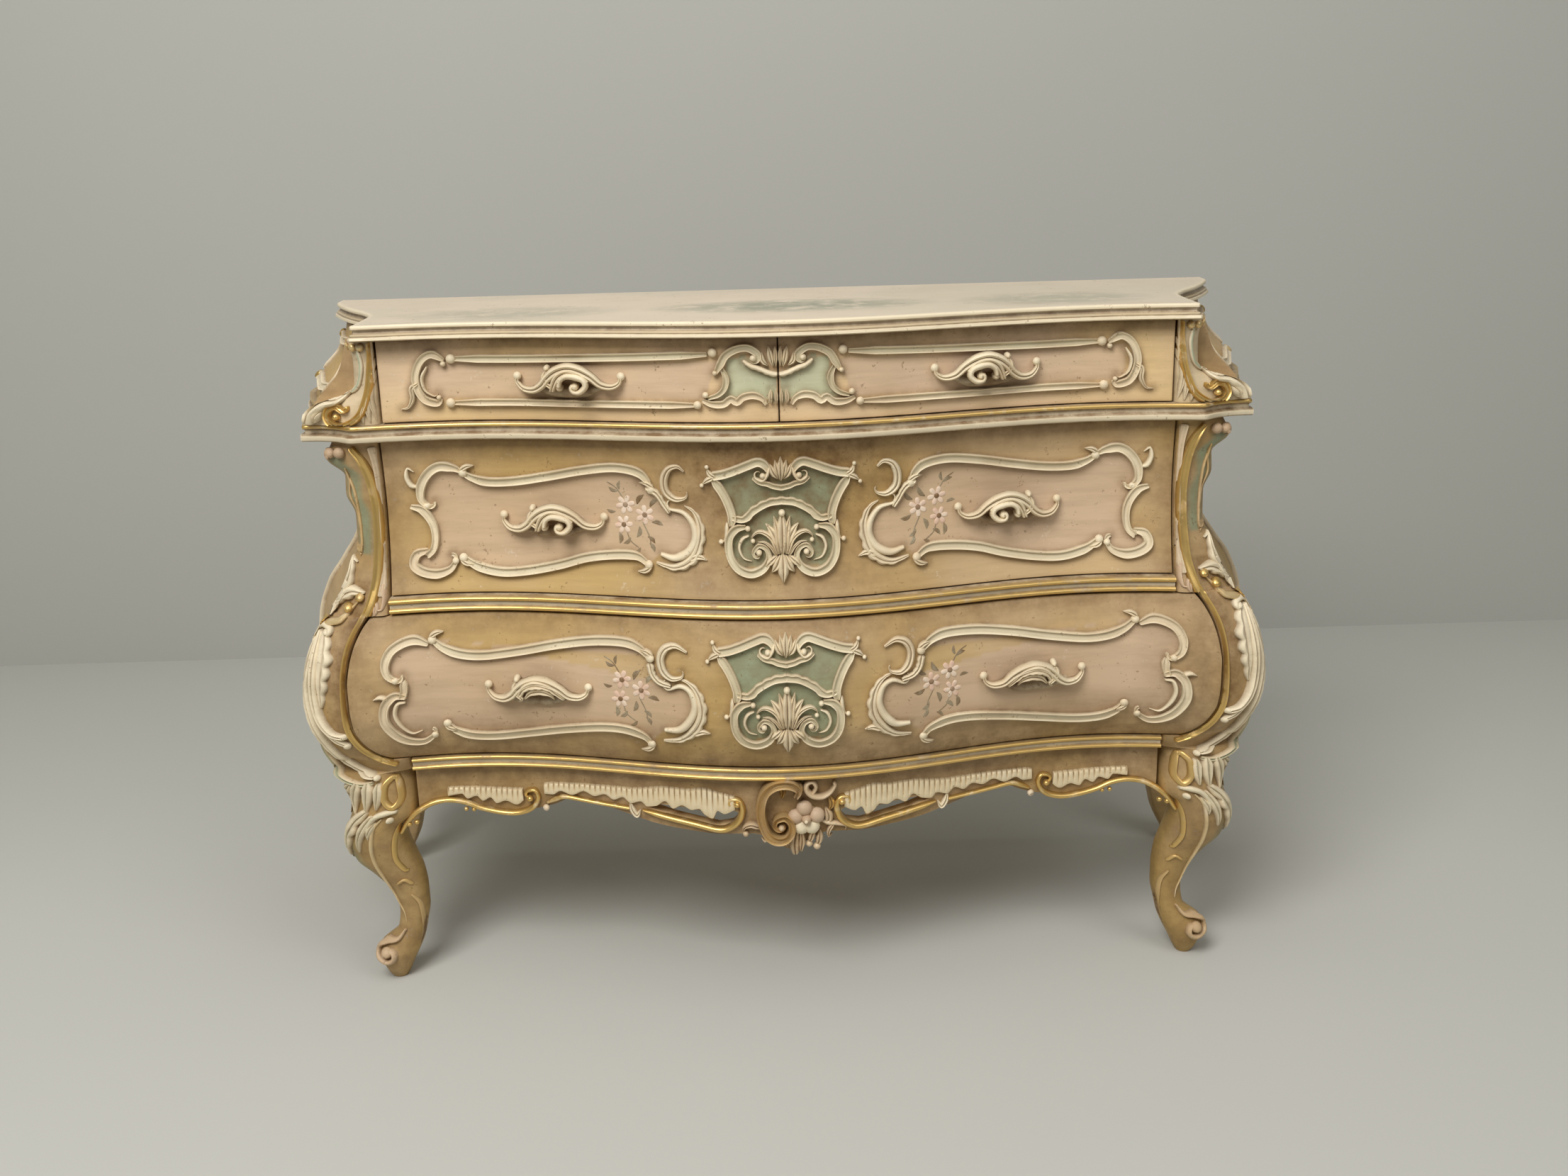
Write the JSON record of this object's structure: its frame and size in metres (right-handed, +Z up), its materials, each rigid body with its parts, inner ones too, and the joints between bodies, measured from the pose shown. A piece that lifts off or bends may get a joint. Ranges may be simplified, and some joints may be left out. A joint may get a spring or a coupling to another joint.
{
  "type": "bombe chest",
  "caption": "Bombe chest of drawers with a serpentine front, painted and parcel gilt, with carved handles, scalloped apron and cabriole legs.",
  "frame": {"origin": "centre of the footprint box, on the floor", "axes": "+X to the right of someone facing the front, -Y out of the front, +Z up"},
  "size_m": [1.3914, 0.4952, 0.88],
  "materials": {
    "painted_ground": "aged matt paint, warm pinkish beige with an ochre and brown glaze",
    "painted_top": "aged matt paint, pinkish cream, faintly crazed, with a faded grey-green motif",
    "cream_carving": "carved wood painted cream, with brown glaze in the hollows and sea-green touches",
    "gilding": "water gilding, rubbed through in places",
    "bare_wood": "unfinished softwood"
  },
  "bodies": {
    "carcass": {"top": "painted_top", "back_panel": "bare_wood", "waist_board": "cream_carving", "upper_side_right": "painted_ground", "upper_side_left": "painted_ground", "lower_side_right": "painted_ground", "lower_side_left": "painted_ground", "side_apron_right": "cream_carving", "side_apron_left": "cream_carving", "upper_post_right": "cream_carving", "upper_post_left": "cream_carving", "front_stile_leg_right": "cream_carving", "front_stile_leg_left": "cream_carving", "rear_stile_leg_right": "painted_ground", "rear_stile_leg_left": "painted_ground", "mid_rail": "gilding", "bottom_rail": "gilding", "bottom_board": "bare_wood", "dust_panel": "bare_wood", "divider": "bare_wood", "mid_guide_right": "bare_wood", "mid_guide_left": "bare_wood", "low_guide_right": "bare_wood", "low_guide_left": "bare_wood", "apron": "cream_carving", "apron_crest": "gilding"},
    "drawer_top_left": {"drawer_top_left_front": "painted_ground", "drawer_top_left_left": "bare_wood", "drawer_top_left_right": "bare_wood", "drawer_top_left_back": "bare_wood", "drawer_top_left_bottom": "bare_wood", "short_moulding_left": "cream_carving", "top_handle_left": "cream_carving"},
    "drawer_top_right": {"drawer_top_right_front": "painted_ground", "drawer_top_right_left": "bare_wood", "drawer_top_right_right": "bare_wood", "drawer_top_right_back": "bare_wood", "drawer_top_right_bottom": "bare_wood", "short_moulding_right": "cream_carving", "top_handle_right": "cream_carving"},
    "drawer_middle": {"drawer_middle_front": "painted_ground", "drawer_middle_left": "bare_wood", "drawer_middle_right": "bare_wood", "drawer_middle_back": "bare_wood", "drawer_middle_bottom": "bare_wood", "middle_frame_right": "cream_carving", "middle_frame_left": "cream_carving", "middle_cartouche": "cream_carving", "middle_handle_right": "cream_carving", "middle_handle_left": "cream_carving"},
    "drawer_low": {"drawer_low_front": "painted_ground", "drawer_low_left": "bare_wood", "drawer_low_right": "bare_wood", "drawer_low_back": "bare_wood", "drawer_low_bottom": "bare_wood", "low_frame_right": "cream_carving", "low_frame_left": "cream_carving", "low_cartouche": "cream_carving", "low_handle_right": "cream_carving", "low_handle_left": "cream_carving"}
  },
  "joints": [
    {"name": "drawer_top_left_slide", "type": "slide", "parent": "carcass", "child": "drawer_top_left", "axis": [0, -1, 0], "range_m": [0, 0.25]},
    {"name": "drawer_top_right_slide", "type": "slide", "parent": "carcass", "child": "drawer_top_right", "axis": [0, -1, 0], "range_m": [0, 0.25]},
    {"name": "drawer_middle_slide", "type": "slide", "parent": "carcass", "child": "drawer_middle", "axis": [0, -1, 0], "range_m": [0, 0.25]},
    {"name": "drawer_low_slide", "type": "slide", "parent": "carcass", "child": "drawer_low", "axis": [0, -1, 0], "range_m": [0, 0.25]}
  ]
}
